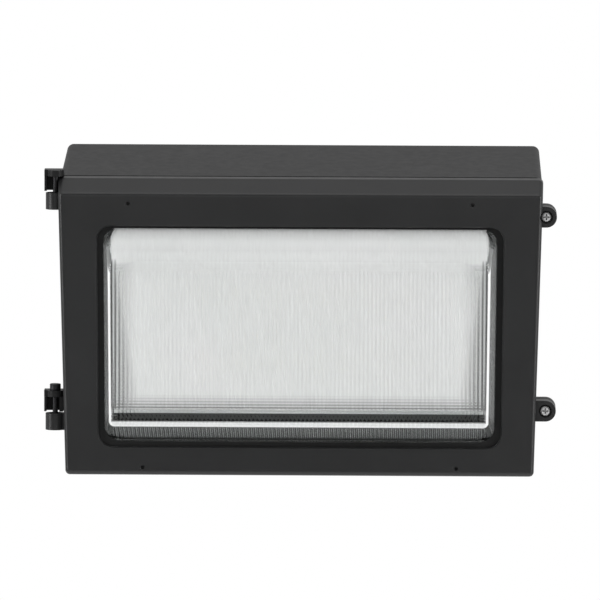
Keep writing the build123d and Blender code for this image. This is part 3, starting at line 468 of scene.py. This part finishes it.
def finish_nodes():
    """Gives every CAD node its material."""
    looks = {
        "housing_coat": powder_coat("housing_coat", gloss=0.42, sheen=0.22),
        "door_coat": powder_coat("door_coat", gloss=0.36, sheen=0.6),
        "plug_coat": powder_coat("plug_coat", gloss=0.42, sheen=0.22, grain=1100.0),
        "seal": rubber("seal", SEAL_RUBBER),
        "grommet": rubber("grommet", GROMMET_RUBBER),
        "glass": pressed_glass("glass"),
        "clip_steel": metal("clip_steel", CLIP_STEEL, gloss=0.38),
        "bright_zinc": metal("bright_zinc", ZINC, gloss=0.45, streak=EVEN_GRAIN, fine=0.1),
        "pin_oxide": metal("pin_oxide", PIN_OXIDE, gloss=0.42),
        "retainer": plastic("retainer", RETAINER_BLACK, gloss=0.45),
        "enamel": white_enamel("enamel"),
        "board": circuit_board("board"),
        "phosphor": phosphor("phosphor"),
        "nylon": plastic("nylon", NYLON, gloss=0.35, share=0.05),
        "driver_metal": metal("driver_metal", DRIVER_METAL, gloss=0.34, streak=BRUSHED, fine=0.25),
        "black_lead": plastic("black_lead", BLACK_LEAD, gloss=0.35, share=0.2),
        "white_lead": plastic("white_lead", WHITE_LEAD, gloss=0.38),
        "green_lead": plastic("green_lead", GREEN_LEAD, gloss=0.36),
        "red_lead": plastic("red_lead", RED_LEAD, gloss=0.34),
        "nut": moulded_nut("nut"),
        "ground_zinc": metal("ground_zinc", GREEN_ZINC, gloss=0.3),
        "tinned": metal("tinned", TINNED_COPPER, gloss=0.3),
    }
    wears = {
        "rear_housing": "housing_coat",
        "door_frame": "door_coat",
        "conduit_plugs": "plug_coat",
        "door_seal": "seal",
        "lens_gasket": "seal",
        "tray_bush": "nylon",
        "wiring_grommet": "grommet",
        "lens": "glass",
        "lens_clips": "clip_steel",
        "clip_screws": "bright_zinc",
        "lower_door_screw": "bright_zinc",
        "upper_door_screw": "bright_zinc",
        "tray_screws": "bright_zinc",
        "driver_screws": "bright_zinc",
        "board_screws": "bright_zinc",
        "lower_hinge_pin": "pin_oxide",
        "upper_hinge_pin": "pin_oxide",
        "screw_retainers": "retainer",
        "reflector_tray": "enamel",
        "led_boards": "board",
        "leds": "phosphor",
        "board_connectors": "nylon",
        "driver_case": "driver_metal",
        "live_lead": "black_lead",
        "neutral_lead": "white_lead",
        "ground_lead": "green_lead",
        "led_lead_positive": "red_lead",
        "led_lead_negative": "black_lead",
        "led_jumpers": "white_lead",
        "wire_nuts": "nut",
        "ground_screw": "ground_zinc",
        "ground_terminal": "tinned",
    }
    for node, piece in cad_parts.items():
        piece.data.materials.clear()
        piece.data.materials.append(looks[wears[node]])


def make_floor():
    """Pale floor that fades out before its edge, and keeps the object's shadow."""
    mesh = bpy.data.meshes.new("floor")
    reach = FLOOR_FADE_RADIUS
    corners = [(-reach, -reach, 0), (reach, -reach, 0), (reach, reach, 0), (-reach, reach, 0)]
    mesh.from_pydata(corners, [], [(0, 1, 2, 3)])
    floor = bpy.data.objects.new("floor", mesh)
    floor.location.z = FLOOR_Z
    bpy.context.scene.collection.objects.link(floor)
    shader = Shader("pale_floor")
    grain = shader.noise(9.0, detail=5.0)
    shader.colour(shader.ramp(grain, FLOOR_SHADES))
    shader.roughness(shader.spread(grain, 0.7, 0.8))
    distance = shader.node("ShaderNodeVectorMath", operation="LENGTH")
    shader.link(shader.place, distance.inputs[0])
    fade = shader.spread(distance.outputs["Value"], 0.0, 1.0, FLOOR_SOLID_RADIUS, FLOOR_FADE_RADIUS)
    unseen = shader.node("ShaderNodeBsdfTransparent").outputs["BSDF"]
    faded = shader.mix_shaders(fade, shader.surface.outputs["BSDF"], unseen)
    shader.link(faded, shader.output.inputs["Surface"])
    mesh.materials.append(shader.material)


def make_world():
    """White to the camera, a room to gloss and glass, and a plain level of light on the object."""
    world = bpy.data.worlds.new("studio")
    bpy.context.scene.world = world
    world.use_nodes = True
    nodes = Nodes(world.node_tree)
    path = nodes.node("ShaderNodeLightPath").outputs
    camera_ray = path["Is Camera Ray"]
    through_ray = path["Is Transmission Ray"]
    shows_room = nodes.largest(camera_ray, path["Is Glossy Ray"], through_ray)
    toward_rear = nodes.part(nodes.node("ShaderNodeTexCoord").outputs["Generated"], "Y")
    rear = nodes.spread(through_ray, REAR_ROOM, REAR_THROUGH_GLASS, 0.0, 1.0)
    room = nodes.spread(toward_rear, FRONT_ROOM, rear, *ROOM_TURN, interpolation_type="SMOOTHSTEP")
    seen = nodes.node("ShaderNodeBackground")
    seen.inputs["Color"].default_value = WHITE
    nodes.link(nodes.largest(camera_ray, room), seen.inputs["Strength"])
    light = nodes.tree.nodes["Background"]
    light.inputs["Color"].default_value = WHITE
    light.inputs["Strength"].default_value = WORLD_LIGHT
    studio = nodes.mix_shaders(shows_room, light.outputs["Background"], seen.outputs["Background"])
    nodes.link(studio, nodes.tree.nodes["World Output"].inputs["Surface"])


def make_lamps():
    """Soft boxes that face the object."""
    for name, place, size, watts in LAMPS:
        lamp = bpy.data.lights.new(name, "AREA")
        lamp.shape = "RECTANGLE"
        lamp.size, lamp.size_y = size
        lamp.energy = watts
        box = bpy.data.objects.new(name, lamp)
        box.location = place
        box.rotation_mode = "QUATERNION"
        box.rotation_quaternion = (-Vector(place)).to_track_quat("-Z", "Y")
        bpy.context.scene.collection.objects.link(box)


def make_camera():
    data = bpy.data.cameras.new("camera")
    data.lens = CAMERA_LENS
    data.clip_start = CAMERA_NEAR
    data.clip_end = CAMERA_FAR
    camera = bpy.data.objects.new("camera", data)
    flat = math.cos(CAMERA_ELEVATION)
    right = math.sin(CAMERA_YAW) * flat
    forward = -math.cos(CAMERA_YAW) * flat
    toward = Vector((right, forward, math.sin(CAMERA_ELEVATION)))
    camera.location = CAMERA_TARGET + toward * CAMERA_DISTANCE
    camera.rotation_mode = "QUATERNION"
    level = (-toward).to_track_quat("-Z", "Y")
    camera.rotation_quaternion = level @ Quaternion((0.0, 0.0, 1.0), CAMERA_ROLL)
    bpy.context.scene.collection.objects.link(camera)
    bpy.context.scene.camera = camera


finish_nodes()
make_floor()
make_world()
make_lamps()
make_camera()
bpy.context.scene.view_settings.view_transform = "Standard"
